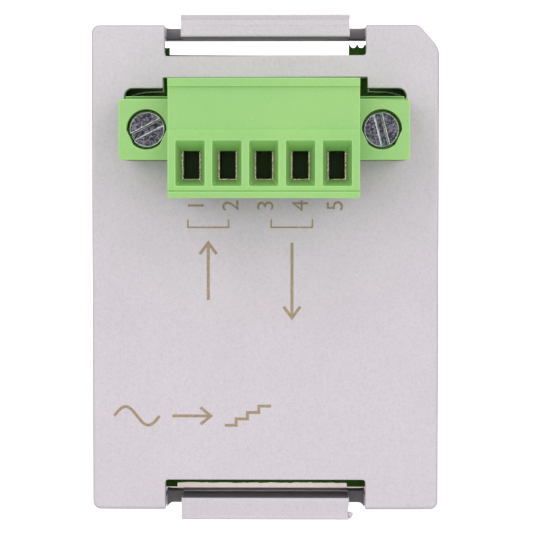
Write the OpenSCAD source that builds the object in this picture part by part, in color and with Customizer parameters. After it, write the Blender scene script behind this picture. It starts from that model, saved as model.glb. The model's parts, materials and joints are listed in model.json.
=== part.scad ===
// Analog plug-in module for a small programmable controller: a clip-on cover, the circuit board
// behind it, and a screw-flange terminal plug in its header.
// X runs to the right, Y into the depth and Z up. Y = 0 is the rear rim, which seats on the host.

/* [Cover] */
// Width of the cover
cover_w = 35; // [35:0.5:38]
// Height of the cover
cover_h = 49; // [49:0.5:52]
// Depth of the cover, from its face to its rear rim
cover_d = 10; // [10:0.5:12]
// Thickness of the face
plate_t = 1.5; // [1.2:0.1:1.8]
// Thickness of the side walls
wall_t = 1.0; // [0.9:0.05:1.1]

/* [Latches] */
// Width of each finger tab
tab_w = 17; // [14:0.5:18]
// Width of each latch slot in the cover
slot_w = 20.3; // [20:0.1:21]
// Height that the lip stands out beyond the cover
lip_h = 1.05; // [0.6:0.05:1.3]

/* [Terminals] */
// Number of wires
poles = 5; // [3:1:5]
// Distance from one wire to the next
pitch = 3.5; // [3.4:0.05:3.5]
// Height of the flange screws above the middle of the cover
plug_z = 13.8; // [13.6:0.1:14]
// How far the wire face stands in front of the cover
plug_reach = 11.5; // [11:0.1:12]

/* [Board connector] */
// Sockets in each of its two rows
socket_columns = 10; // [8:1:10]
// Distance from one socket to the next
socket_pitch = 2; // [2:0.1:2]

/* [Hidden] */
$fn = 48;
eps = 0.01;

// Places along the depth
face_y = -cover_d;
board_t = 1.6;
board_front = face_y + 6;
board_back = board_front + board_t;

// Cover
half_w = cover_w / 2;
half_h = cover_h / 2;
corner_r = 0.8;
cut_corner = [2.04, 2.32]; // the cut-off top right corner, in X and Z
cut_corner_r = [0.85, 2.2];
slot_floor = half_h - 3.05;
slot_back = 6.1;
cutout_w = [28.4, 20.6]; // the opening for the terminals: at the flanges, and above them
cutout_z = [plug_z - 2.91, plug_z + 4.35, plug_z + 5.4];
boss_x = 13.6;
boss_z = [-19.6, 21.1];
boss_r = 1.9;
locating_pin_r = 0.75;
board_screw_r = 1.0;

// Latches
strap_front = face_y + 4.1;
strap_d = 1.6;
tab_inner_z = half_h - 1.25; // the side of the tab that faces the slot
top_strap_h = 1.2;
bottom_strap_h = 1.35;

// Board
board_half_w = 16.2;
board_z = [-23.3, 22.9];
board_corner = [1.1, 1.3]; // its cut-off top right corner, in X and Z
notch_x = [-10, 8.6];
notch_z = 20.5;
broken_x = [-9.2, 8.4];
bite_r = 0.34;
bite_pitch = 0.8;

// Terminal header
header_h = 9.2;
header_front = board_front - header_h;
header_z = [plug_z - 2.8, plug_z + 3.4];
header_flange_half_w = 13.8;
cavity_half_w = 8.5;
cavity_z = [plug_z - 1.9, plug_z + 2.5];
cavity_floor = board_front - 2;
pin_side = 0.9;
nut_r = 2.0;
nut_d = 3.5;
flange_x = 11.35;

// Terminal plug
plug_front = face_y - plug_reach;
plug_half_w = 9.15;
plug_z_range = [plug_z - 6.6, plug_z + 4.8];
plug_back = header_front - 0.2;
plug_flange_front = plug_front + 3;
plug_flange_half_w = 14.05;
plug_flange_half_h = 2.93;
face_recess = 0.35;
face_recess_z = [plug_z - 0.2, plug_z + 4.0];
funnel_outer = [2.8, plug_z - 5.44, plug_z - 1.11]; // width, lowest and highest edge
funnel_inner = [1.8, plug_z - 4.86, plug_z - 2.09];
funnel_d = 2.55;
cage_w = 2.7;
cage_y = [plug_front + 2.7, plug_front + 5.9];
cage_z = [plug_z - 5.2, plug_z + 0.7];
cage_mouth_half_w = 0.75;
cage_floor_t = 0.45;
cage_top_t = 0.6;
cage_travel = 2.35; // a wire clamp's lift, from open to closed
clamp_y = plug_front + 4.4;
clamp_r = 1.0;
clamp_head_r = 1.15;
clamp_head_z = [plug_z + 3.65, plug_z + 4.55];
bar_z = [plug_z - 2.1, plug_z - 1.35];
bar_half_w = cage_mouth_half_w - 0.06;
flange_screw_r = 1.25;
flange_head_r = 1.7;
flange_hole_r = 1.94;
flange_head_y = [plug_flange_front + 0.8, plug_flange_front + 2.3];
running_gap = 0.03;

// Board connector
connector_z = -12;
connector_y = [board_back, board_back + 6];
connector_half_w = socket_columns * socket_pitch / 2 + 0.6;
connector_half_h = 2.2;
socket_side = 0.9;

// Colours
cover_colour = [0.82, 0.80, 0.82];
green = [0.55, 0.80, 0.40];
board_green = [0.10, 0.35, 0.12];
steel = [0.62, 0.62, 0.66];
brass = [0.80, 0.66, 0.42];
black = [0.10, 0.10, 0.11];

function pole_x(i) = (i - (poles + 1) / 2) * pitch;

// Points of a closed outline whose corners are [x, z, radius], going round clockwise or not.
function unit(v) = v / norm(v);
function fillet(before, at, after, r, steps = 6) =
    r <= 0 ? [at] :
    let (a = unit(before - at), b = unit(after - at),
         half = acos(a * b) / 2,
         centre = at + unit(a + b) * r / sin(half),
         from = at + a * r / tan(half) - centre,
         to = at + b * r / tan(half) - centre)
    [for (i = [0:steps]) let (t = i / steps, d = unit(from * (1 - t) + to * t)) centre + d * r];
function rounded(corners) =
    let (n = len(corners), p = [for (c = corners) [c[0], c[1]]])
    [for (i = [0:n - 1], q = fillet(p[(i + n - 1) % n], p[i], p[(i + 1) % n], corners[i][2])) q];

// A flat outline in X and Z, as a plate that starts at Y = front.
module plate(front, depth)
    translate([0, front + depth, 0]) rotate([90, 0, 0]) linear_extrude(depth) children();

// A side profile in Y and Z, as a bar that starts at X = left.
module bar(left, length)
    translate([left, 0, 0]) rotate([90, 0, 90]) linear_extrude(length) children();

// A box from its lowest to its highest corner.
module box(low, high) translate(low) cube(high - low);

// A cylinder along Y, from Y = from to Y = to.
module pin_y(x, z, r, from, to)
    translate([x, from, z]) rotate([-90, 0, 0]) cylinder(r = r, h = to - from);

// ---- Cover and latches ----

module cover_outline(inset) {
    x = half_w - inset;
    z = half_h - inset;
    r = max(corner_r - inset, 0.2);
    polygon(rounded([
        [-x, -z, r], [x, -z, r],
        [x, half_h - cut_corner[1] - inset * 0.4, cut_corner_r[1] - inset],
        [half_w - cut_corner[0] - inset * 0.4, z, max(cut_corner_r[0] - inset, 0.2)],
        [-x, z, r]]));
}

module terminal_cutout() {
    polygon(rounded([
        [-cutout_w[0] / 2, cutout_z[0], 0.3], [cutout_w[0] / 2, cutout_z[0], 0.3],
        [cutout_w[0] / 2, cutout_z[1], 0.8], [cutout_w[1] / 2, cutout_z[1], 0],
        [cutout_w[1] / 2, cutout_z[2], 0], [-cutout_w[1] / 2, cutout_z[2], 0],
        [-cutout_w[1] / 2, cutout_z[1], 0], [-cutout_w[0] / 2, cutout_z[1], 0.8]]));
}

module front_cover() color(cover_colour) difference() {
    union() {
        difference() {
            plate(face_y, cover_d) cover_outline(0);
            plate(face_y + plate_t, cover_d) cover_outline(wall_t);
        }
        for (x = [-boss_x, boss_x], z = boss_z)
            pin_y(x, z, boss_r, face_y + plate_t - eps, board_front);
        for (x = [-boss_x, boss_x])
            pin_y(x, boss_z[1], locating_pin_r, board_front - eps, board_back + 0.6);
    }
    plate(face_y - 1, plate_t + 2) terminal_cutout();
    for (side = [-1, 1])
        box([-slot_w / 2, face_y - 1, side > 0 ? slot_floor : -half_h - 1],
            [slot_w / 2, face_y + slot_back, side > 0 ? half_h + 1 : -slot_floor]);
    for (x = [-boss_x, boss_x])
        pin_y(x, boss_z[0], board_screw_r + running_gap, face_y + plate_t + 0.4, board_front + 1);
}

// A latch at the top edge: a flexible strap across the slot, a finger tab in front of it, and
// a lip that catches behind the edge of the host's bay. The strap's ends are part of the cover.
// stepped sets the lip back a little from the tab's face.
module latch(strap_h, stepped) {
    strap_top = half_h - 0.05;
    box([-slot_w / 2, strap_front, strap_top - strap_h],
        [slot_w / 2, strap_front + strap_d, strap_top]);
    lip_z = half_h + lip_h;
    step = [[face_y, half_h + 0.02], [face_y + 0.11, half_h + 0.1],
            [face_y + 0.15, half_h + 0.4], [face_y + 0.11, half_h + 0.7]];
    bar(-tab_w / 2, tab_w)
        polygon(concat(
            [[strap_front + 2 * eps, tab_inner_z], [face_y + 0.15, tab_inner_z],
             [face_y, tab_inner_z + 0.15]],
            stepped ? step : [],
            [[face_y + 0.05, lip_z - 0.12], [face_y + 0.2, lip_z], [face_y + 1.2, lip_z],
             [face_y + 3.2, strap_top], [strap_front + 2 * eps, strap_top]]));
}

module top_latch() color(cover_colour) latch(top_strap_h, true);

module bottom_latch() color(cover_colour) mirror([0, 0, 1]) latch(bottom_strap_h, false);

// ---- Circuit board and what is soldered to it ----

module board_outline() {
    difference() {
        polygon([[-board_half_w, board_z[0]], [board_half_w, board_z[0]],
                 [board_half_w, board_z[1] - board_corner[1]],
                 [board_half_w - board_corner[0], board_z[1]], [-board_half_w, board_z[1]]]);
        translate([notch_x[0], notch_z])
            square([notch_x[1] - notch_x[0], board_z[1] - notch_z + 1]);
        for (i = [0:3]) {
            translate([notch_x[1] + (i + 0.55) * bite_pitch, board_z[1]]) circle(bite_r);
            translate([notch_x[0] - (i + 0.3) * bite_pitch, board_z[1]]) circle(bite_r);
        }
        for (x = [-boss_x, boss_x]) {
            translate([x, boss_z[0]]) circle(board_screw_r + 0.15);
            translate([x, boss_z[1]]) circle(locating_pin_r + 0.1);
        }
        for (i = [1:poles]) translate([pole_x(i), plug_z]) circle(0.65);
        for (p = socket_places()) translate([p[0], p[1]]) circle(0.4);
    }
}

// The scored lower edge of the board, sloped where it was broken out of its panel.
module broken_edge(left, right, height)
    bar(left, right - left)
        polygon([[board_front - 1, board_z[0] + height], [board_front, board_z[0] + height],
                 [board_front + 0.4, board_z[0]], [board_front + 0.4, board_z[0] - 1],
                 [board_front - 1, board_z[0] - 1]]);

module circuit_board() color(board_green) difference() {
    plate(board_front, board_t) board_outline();
    broken_edge(broken_x[0], broken_x[1], 0.7);
    broken_edge(-board_half_w - 1, broken_x[0], 0.2);
    broken_edge(broken_x[1], board_half_w + 1, 0.2);
}

module board_screws() color(steel)
    for (x = [-boss_x, boss_x]) {
        difference() {
            pin_y(x, boss_z[0], 1.8, board_back, board_back + 1.3);
            for (turn = [0, 90])
                translate([x, board_back + 1.3, boss_z[0]]) rotate([0, turn + 20, 0])
                    cube([1.9, 1.4, 0.45], center = true);
        }
        pin_y(x, boss_z[0], board_screw_r, board_front - 3.6, board_back + eps);
    }

module terminal_header() color(green) difference() {
    box([-header_flange_half_w, header_front, header_z[0]],
        [header_flange_half_w, board_front, header_z[1]]);
    box([-cavity_half_w, header_front - 1, cavity_z[0]],
        [cavity_half_w, cavity_floor, cavity_z[1]]);
    for (i = [1:poles])
        box([pole_x(i) - pin_side / 2, cavity_floor - 1, plug_z - pin_side / 2],
            [pole_x(i) + pin_side / 2, board_front + 1, plug_z + pin_side / 2]);
    for (x = [-flange_x, flange_x]) {
        pin_y(x, plug_z, nut_r + 0.02, header_front - 1, header_front + nut_d);
        pin_y(x, plug_z, flange_screw_r + 0.15, header_front, header_front + 5.2);
    }
    // a fine moulding line along the top of the front edge
    box([-header_flange_half_w - 1, header_front - 1, header_z[1] - 0.22],
        [header_flange_half_w + 1, header_front + 0.3, header_z[1] - 0.12]);
    // key slots in the top wall, one for each wire
    for (i = [1:poles])
        box([pole_x(i) - 0.5, header_front - 1, cavity_z[1] - 1],
            [pole_x(i) + 0.5, header_front + 2.5, header_z[1] + 1]);
}

module header_pins() color(brass)
    for (i = [1:poles]) {
        x = pole_x(i);
        box([x - pin_side / 2, header_front + 1.6, plug_z - pin_side / 2],
            [x + pin_side / 2, board_back + 1.5, plug_z + pin_side / 2]);
    }

module header_nuts() color(brass)
    for (x = [-flange_x, flange_x]) difference() {
        pin_y(x, plug_z, nut_r, header_front, header_front + nut_d);
        pin_y(x, plug_z, flange_screw_r + running_gap, header_front - 1, header_front + nut_d + 1);
    }

function socket_places() =
    [for (row = [-1, 1], column = [0:socket_columns - 1])
        [(column - (socket_columns - 1) / 2) * socket_pitch,
         connector_z + row * socket_pitch / 2]];

module board_connector() color(black) difference() {
    box([-connector_half_w, connector_y[0], connector_z - connector_half_h],
        [connector_half_w, connector_y[1], connector_z + connector_half_h]);
    for (p = socket_places())
        box([p[0] - socket_side / 2, connector_y[0] - 1, p[1] - socket_side / 2],
            [p[0] + socket_side / 2, connector_y[1] + 1, p[1] + socket_side / 2]);
}

// Each contact has a solder tail through the board and two spring leaves in its socket.
module board_connector_contacts() color(brass)
    for (p = socket_places()) {
        box([p[0] - 0.25, board_front - 0.9, p[1] - 0.25],
            [p[0] + 0.25, board_back + 1.5, p[1] + 0.25]);
        for (side = [-1, 1])
            box([p[0] - 0.3, board_back + 1.5 - eps, p[1] + side * 0.3 - 0.09],
                [p[0] + 0.3, connector_y[1] - 0.6, p[1] + side * 0.3 + 0.09]);
        box([p[0] - 0.3, board_back + 1.2, p[1] - 0.39], [p[0] + 0.3, board_back + 1.5, p[1] + 0.39]);
    }

// Packages: [x, z, width, height], the body's size in X and Z.
processor = [-7.2, 3.6, 7, 7];
converter = [6.4, 5.2, 9.9, 3.9];
amplifiers = [[3.7, -3.6, 4.9, 3.9], [11.2, -3.6, 4.9, 3.9]];
chip_standoff = 0.1;
chip_t = 1.45;

module chip_body(c)
    box([c[0] - c[2] / 2, board_back + chip_standoff, c[1] - c[3] / 2],
        [c[0] + c[2] / 2, board_back + chip_standoff + chip_t, c[1] + c[3] / 2]);

// One gull-wing lead, leaving a body edge at Z = 0 towards +Z, on the board's back.
module gull_lead(width)
    translate([-width / 2, 0, 0]) bar(0, width)
        polygon([[board_back, 0.55], [board_back, 1.05], [board_back + 0.2, 1.05],
                 [board_back + 0.2, 0.75], [board_back + 0.9, 0.5], [board_back + 0.9, 0],
                 [board_back + 0.7, 0], [board_back + 0.7, 0.4]]);

// A row of leads along the top edge of a package.
module lead_row(c, count, spacing, width)
    for (i = [0:count - 1])
        translate([(i - (count - 1) / 2) * spacing, 0, c[3] / 2]) gull_lead(width);

module leads_on_two_sides(c, count, spacing, width)
    translate([c[0], 0, c[1]])
        for (turn = [0, 180]) rotate([0, turn, 0]) lead_row(c, count, spacing, width);

module leads_on_four_sides(c, count, spacing, width)
    translate([c[0], 0, c[1]])
        for (turn = [0:90:270]) rotate([0, turn, 0]) lead_row(c, count, spacing, width);

module processor_chip() color(black) chip_body(processor);

module converter_chip() color(black) chip_body(converter);

module amplifier_chips() color(black) for (a = amplifiers) chip_body(a);

module chip_leads() color(steel) {
    leads_on_four_sides(processor, 8, 0.8, 0.35);
    leads_on_two_sides(converter, 8, 1.27, 0.4);
    for (a = amplifiers) leads_on_two_sides(a, 4, 1.27, 0.4);
}

// Small two-ended parts: [x, z, 0 when it lies along X or 1 when along Z].
resistors = concat(
    [for (i = [0:4]) [-14 + i * 2.1, -3.2, 1]],
    [for (i = [0:2]) [-13 + i * 3, 9.6, 0]],
    [[14.2, 9.2, 1], [1.2, 9.6, 1], [-1, -6.4, 0], [-14.4, 1.6, 1]]);
capacitors = concat(
    [for (i = [0:2]) [-5 + i * 4.2, -17.2, 0]],
    [[13.9, 2.4, 1], [0, 3.4, 1], [-0.2, -2.6, 1]]);
tantalums = [[8.6, -17.4, 0], [8.6, -20.6, 0]];
inductor = [-9, -17.4];
crystal_place = [-7.2, -6];
resistor_size = [1.6, 0.8, 0.45];
capacitor_size = [2.0, 1.25, 0.85];
tantalum_size = [3.5, 2.8, 1.9];

module two_ended(place, size, end_t, ends)
    translate([place[0], board_back, place[1]]) rotate([0, place[2] * 90, 0]) {
        if (ends)
            for (side = [-1, 1])
                translate([side * (size[0] - end_t) / 2, size[2] / 2, 0])
                    cube([end_t, size[2], size[1]], center = true);
        else
            translate([0, size[2] / 2, 0])
                cube([size[0] - 2 * end_t, size[2] - 0.04, size[1] - 0.04], center = true);
    }

module chip_resistors() color(black)
    for (p = resistors) two_ended(p, resistor_size, 0.3, false);

module chip_capacitors() color([0.72, 0.60, 0.44])
    for (p = capacitors) two_ended(p, capacitor_size, 0.4, false);

module tantalum_capacitors() color([0.85, 0.62, 0.20])
    for (p = tantalums) two_ended(p, tantalum_size, 0.15, false);

module chip_terminations() color(steel) {
    for (p = resistors) two_ended(p, resistor_size, 0.3, true);
    for (p = capacitors) two_ended(p, capacitor_size, 0.4, true);
    for (p = tantalums) two_ended(p, [tantalum_size[0], 2.0, 1.0], 0.15, true);
}

module power_inductor() color([0.22, 0.22, 0.23]) difference() {
    box([inductor[0] - 2, board_back, inductor[1] - 2],
        [inductor[0] + 2, board_back + 2, inductor[1] + 2]);
    pin_y(inductor[0], inductor[1], 1.3, board_back + 1.8, board_back + 3);
}

module crystal() color(steel)
    box([crystal_place[0] - 1.6, board_back, crystal_place[1] - 1.25],
        [crystal_place[0] + 1.6, board_back + 0.8, crystal_place[1] + 1.25]);

// Isolating supply for the analog side, between the board and the cover.
module supply_module() color(black)
    box([-9.5, board_front - 3.8, -6], [3, board_front, 4]);

// ---- Terminal plug ----

// The lead-in for a wire: wide at the plug's face, narrow where it meets the clamp.
module funnel(x) {
    mouth = plug_front - 1;
    throat = plug_front + funnel_d;
    end = throat + 0.2;
    half = [funnel_outer[0] / 2 + 0.18, funnel_inner[0] / 2];
    intersection() {
        bar(x - 3, 6)
            polygon([[mouth, funnel_outer[1] - 0.24], [mouth, funnel_outer[2] + 0.38],
                     [throat, funnel_inner[2]], [end, funnel_inner[2]],
                     [end, funnel_inner[1]], [throat, funnel_inner[1]]]);
        translate([x, 0, plug_z - 10]) linear_extrude(20)
            polygon([[-half[0], mouth], [half[0], mouth], [half[1], throat], [half[1], end],
                     [-half[1], end], [-half[1], throat]]);
    }
}

// The room inside the plug for one wire clamp and its contact.
module clamp_cavity(x) {
    half = cage_w / 2 + 0.05;
    ceiling = cage_z[1] + cage_travel + 0.05;
    box([x - half, cage_y[0] - 0.1, cage_z[0] - 0.1], [x + half, cage_y[1] + 0.1, ceiling]);
    translate([x, clamp_y, ceiling - eps]) cylinder(r = clamp_r + 0.05, h = 1);
    translate([x, clamp_y, clamp_head_z[0]]) cylinder(r = clamp_head_r + 0.15, h = 3);
    box([x - 0.75, cage_y[1], cage_z[0] + cage_floor_t], [x + 0.75, plug_back - 0.7, bar_z[0]]);
    box([x - 0.75, cage_y[1], bar_z[0] - 0.05], [x + 0.75, plug_back + 0.2, bar_z[1] + 0.05]);
    box([x - 1.05, plug_back - 0.65, bar_z[0] - 0.05], [x + 1.05, plug_back + 0.3, plug_z + 1]);
    box([x - 1.05, plug_back, plug_z - 0.95], [x + 1.05, cavity_floor + 1, plug_z + 1]);
}

module flange_hole(x) {
    // a round hole with two slanting flats near its foot
    plate(plug_flange_front - 1, flange_head_y[1] - plug_flange_front + 1.05) intersection() {
        translate([x, plug_z]) circle(flange_hole_r);
        translate([x, plug_z])
            polygon([[-2.05, 3], [2.05, 3], [2.05, 0.2], [0.95, -2.2], [-0.95, -2.2], [-2.05, 0.2]]);
    }
    pin_y(x, plug_z, flange_screw_r + 0.15, plug_flange_front, plug_back + 1);
}

module plug_housing() color(green) difference() {
    union() {
        box([-plug_half_w, plug_front, plug_z_range[0]], [plug_half_w, plug_back, plug_z_range[1]]);
        box([-plug_half_w, plug_back - eps, header_z[1] + 0.15],
            [plug_half_w, face_y + 1, plug_z_range[1]]);
        box([-cavity_half_w + 0.15, plug_back - eps, cavity_z[0] + 0.15],
            [cavity_half_w - 0.15, cavity_floor - 0.3, cavity_z[1] - 0.15]);
        for (i = [1:poles])
            box([pole_x(i) - 0.4, plug_back - eps, cavity_z[1] - 0.2],
                [pole_x(i) + 0.4, plug_back + 2.4, header_z[1] - 0.2]);
        plate(plug_flange_front, plug_back + 0.1 - plug_flange_front)
            polygon(rounded([
                [-plug_flange_half_w, plug_z - plug_flange_half_h, 0.35],
                [plug_flange_half_w, plug_z - plug_flange_half_h, 0.35],
                [plug_flange_half_w, plug_z + plug_flange_half_h, 0.35],
                [-plug_flange_half_w, plug_z + plug_flange_half_h, 0.35]]));
    }
    box([-plug_half_w - 1, plug_front - 1, face_recess_z[0]],
        [plug_half_w + 1, plug_front + face_recess, face_recess_z[1]]);
    box([-plug_half_w - 1, plug_front - 1, plug_z_range[0] + 0.62],
        [plug_half_w + 1, plug_front + 0.18, plug_z_range[0] + 0.72]);
    for (i = [1:poles]) {
        funnel(pole_x(i));
        clamp_cavity(pole_x(i));
    }
    for (x = [-flange_x, flange_x]) flange_hole(x);
}

// The bar that a wire is clamped against, stepping up to a socket round the header's pin.
module plug_contacts() color(brass)
    for (i = [1:poles]) {
        x = pole_x(i);
        difference() {
            union() {
                box([x - bar_half_w, cage_y[0] + 0.1, bar_z[0]],
                    [x + bar_half_w, plug_back + 0.15, bar_z[1]]);
                box([x - 1, plug_back - 0.6, bar_z[0]], [x + 1, plug_back + 0.15, plug_z + 0.95]);
                box([x - 1, plug_back - eps, plug_z - 0.9], [x + 1, cavity_floor - 0.6, plug_z + 0.95]);
            }
            box([x - pin_side / 2 - 0.05, plug_back + 0.6, plug_z - pin_side / 2 - 0.05],
                [x + pin_side / 2 + 0.05, cavity_floor + 1, plug_z + pin_side / 2 + 0.05]);
        }
    }

// A slotted screw head and shank along +Z, with the head's top at Z = 0.
module slotted_screw(head_r, head_t, shank_r, length, slot, angle)
    difference() {
        union() {
            translate([0, 0, -head_t]) cylinder(r = head_r, h = head_t);
            translate([0, 0, -length]) cylinder(r = shank_r, h = length - head_t + eps);
        }
        rotate([0, 0, angle]) translate([-head_r - 1, -slot[0] / 2, -slot[1]])
            cube([2 * head_r + 2, slot[0], slot[1] + 1]);
    }

module flange_screw(x, angle) color(steel)
    translate([x, flange_head_y[0], plug_z]) rotate([90, 0, 0])
        slotted_screw(flange_head_r, flange_head_y[1] - flange_head_y[0], flange_screw_r, 8.7,
                      [0.7, 0.85], angle);

module flange_screw_left() flange_screw(-flange_x, 27);

module flange_screw_right() flange_screw(flange_x, 104);

module clamp_screw(i) color(steel)
    translate([pole_x(i), clamp_y, clamp_head_z[1]])
        slotted_screw(clamp_head_r, clamp_head_z[1] - clamp_head_z[0], clamp_r,
                      clamp_head_z[1] - bar_z[1] - 0.15, [0.5, 0.5], 20 + 37 * i);

// A metal frame round the wire, lifted by its screw: a threaded top, thin sides and front lips.
module clamp_cage(i) color(brass) {
    x = pole_x(i);
    half = cage_w / 2;
    difference() {
        box([x - half, cage_y[0], cage_z[0]], [x + half, cage_y[1], cage_z[1]]);
        box([x - half + 0.3, cage_y[0] + 0.5, cage_z[0] + cage_floor_t],
            [x + half - 0.3, cage_y[1] + 1, cage_z[1] - cage_top_t]);
        box([x - cage_mouth_half_w, cage_y[0] - 1, cage_z[0] + cage_floor_t],
            [x + cage_mouth_half_w, cage_y[0] + 1, cage_z[1] - cage_top_t]);
        translate([x, clamp_y, cage_z[1] - 2]) cylinder(r = clamp_r + running_gap, h = 3);
    }
}

front_cover();
top_latch();
bottom_latch();
circuit_board();
board_screws();
terminal_header();
header_pins();
header_nuts();
board_connector();
board_connector_contacts();
processor_chip();
converter_chip();
amplifier_chips();
chip_leads();
chip_resistors();
chip_capacitors();
chip_terminations();
tantalum_capacitors();
power_inductor();
crystal();
supply_module();
plug_housing();
plug_contacts();
flange_screw_left();
flange_screw_right();
for (i = [1:poles]) {
    clamp_screw(i);
    clamp_cage(i);
}
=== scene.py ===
"""How the analog plug-in module looks: rounded skins over its CAD nodes, the circuit board's own
details, procedural materials, soft studio light and a camera square to its face."""

import json
import math

import bmesh
import bpy
from mathutils import Matrix, Vector

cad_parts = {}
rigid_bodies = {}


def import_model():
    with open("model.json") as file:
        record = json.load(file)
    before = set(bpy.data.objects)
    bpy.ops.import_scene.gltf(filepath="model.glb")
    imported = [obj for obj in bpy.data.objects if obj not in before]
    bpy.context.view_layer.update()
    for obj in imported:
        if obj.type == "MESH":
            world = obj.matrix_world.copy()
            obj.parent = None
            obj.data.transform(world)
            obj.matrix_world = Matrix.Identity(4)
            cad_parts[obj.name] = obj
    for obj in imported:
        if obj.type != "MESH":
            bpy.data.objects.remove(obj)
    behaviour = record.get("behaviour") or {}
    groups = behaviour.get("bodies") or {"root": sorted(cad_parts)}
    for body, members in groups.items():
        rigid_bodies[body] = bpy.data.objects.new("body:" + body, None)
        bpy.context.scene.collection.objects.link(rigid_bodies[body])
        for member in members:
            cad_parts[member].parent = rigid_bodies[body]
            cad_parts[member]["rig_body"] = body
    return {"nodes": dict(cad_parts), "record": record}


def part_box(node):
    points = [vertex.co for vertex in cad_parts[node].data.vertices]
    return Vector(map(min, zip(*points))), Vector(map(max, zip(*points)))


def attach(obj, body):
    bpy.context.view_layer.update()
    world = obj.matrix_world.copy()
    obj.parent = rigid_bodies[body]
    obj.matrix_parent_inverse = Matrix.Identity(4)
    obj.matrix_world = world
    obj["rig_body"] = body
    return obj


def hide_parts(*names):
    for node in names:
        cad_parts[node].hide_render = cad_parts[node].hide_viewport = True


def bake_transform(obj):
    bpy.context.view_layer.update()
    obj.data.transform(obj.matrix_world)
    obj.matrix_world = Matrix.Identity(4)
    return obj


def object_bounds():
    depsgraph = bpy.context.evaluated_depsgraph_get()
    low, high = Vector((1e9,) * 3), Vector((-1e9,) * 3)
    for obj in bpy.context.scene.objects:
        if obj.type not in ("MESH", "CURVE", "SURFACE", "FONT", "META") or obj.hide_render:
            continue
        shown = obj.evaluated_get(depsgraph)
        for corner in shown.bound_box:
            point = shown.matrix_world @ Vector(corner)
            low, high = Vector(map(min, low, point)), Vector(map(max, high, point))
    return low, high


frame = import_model()
cad_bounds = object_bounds()
MM = 0.001
POLES = range(1, 6)
COLUMNS = [(column - 4.5) * 2 for column in range(10)]  # the connector's, in millimetres
ON_COVER = ("module", "cover_plastic")  # body and material slot of what is marked on the cover
ON_BOARD = ("module", "laminate")
scene = bpy.context.scene


# ---- Places taken from the frame ----

def low(node):
    """The corner of a node's box with the least x, y and z."""
    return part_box(node)[0]


def high(node):
    """The corner of a node's box with the greatest x, y and z."""
    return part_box(node)[1]


FACE_Y = low("front_cover").y
HALF_W = high("front_cover").x
HALF_H = high("front_cover").z
BOARD_FRONT = low("circuit_board").y
BOARD_BACK = high("circuit_board").y
PLUG_FRONT = low("plug_housing").y
PIN_Z = (low("flange_screw_left").z + high("flange_screw_left").z) / 2
SCORE_TOP = low("circuit_board").z + 0.7 * MM
CONNECTOR_Z = (low("board_connector").z + high("board_connector").z) / 2
POLE_X = {i: (low(f"clamp_cage_{i}").x + high(f"clamp_cage_{i}").x) / 2 for i in POLES}
TAB_HALF = 8.5 * MM  # half the width of a latch's tab


# ---- Node materials ----

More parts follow.
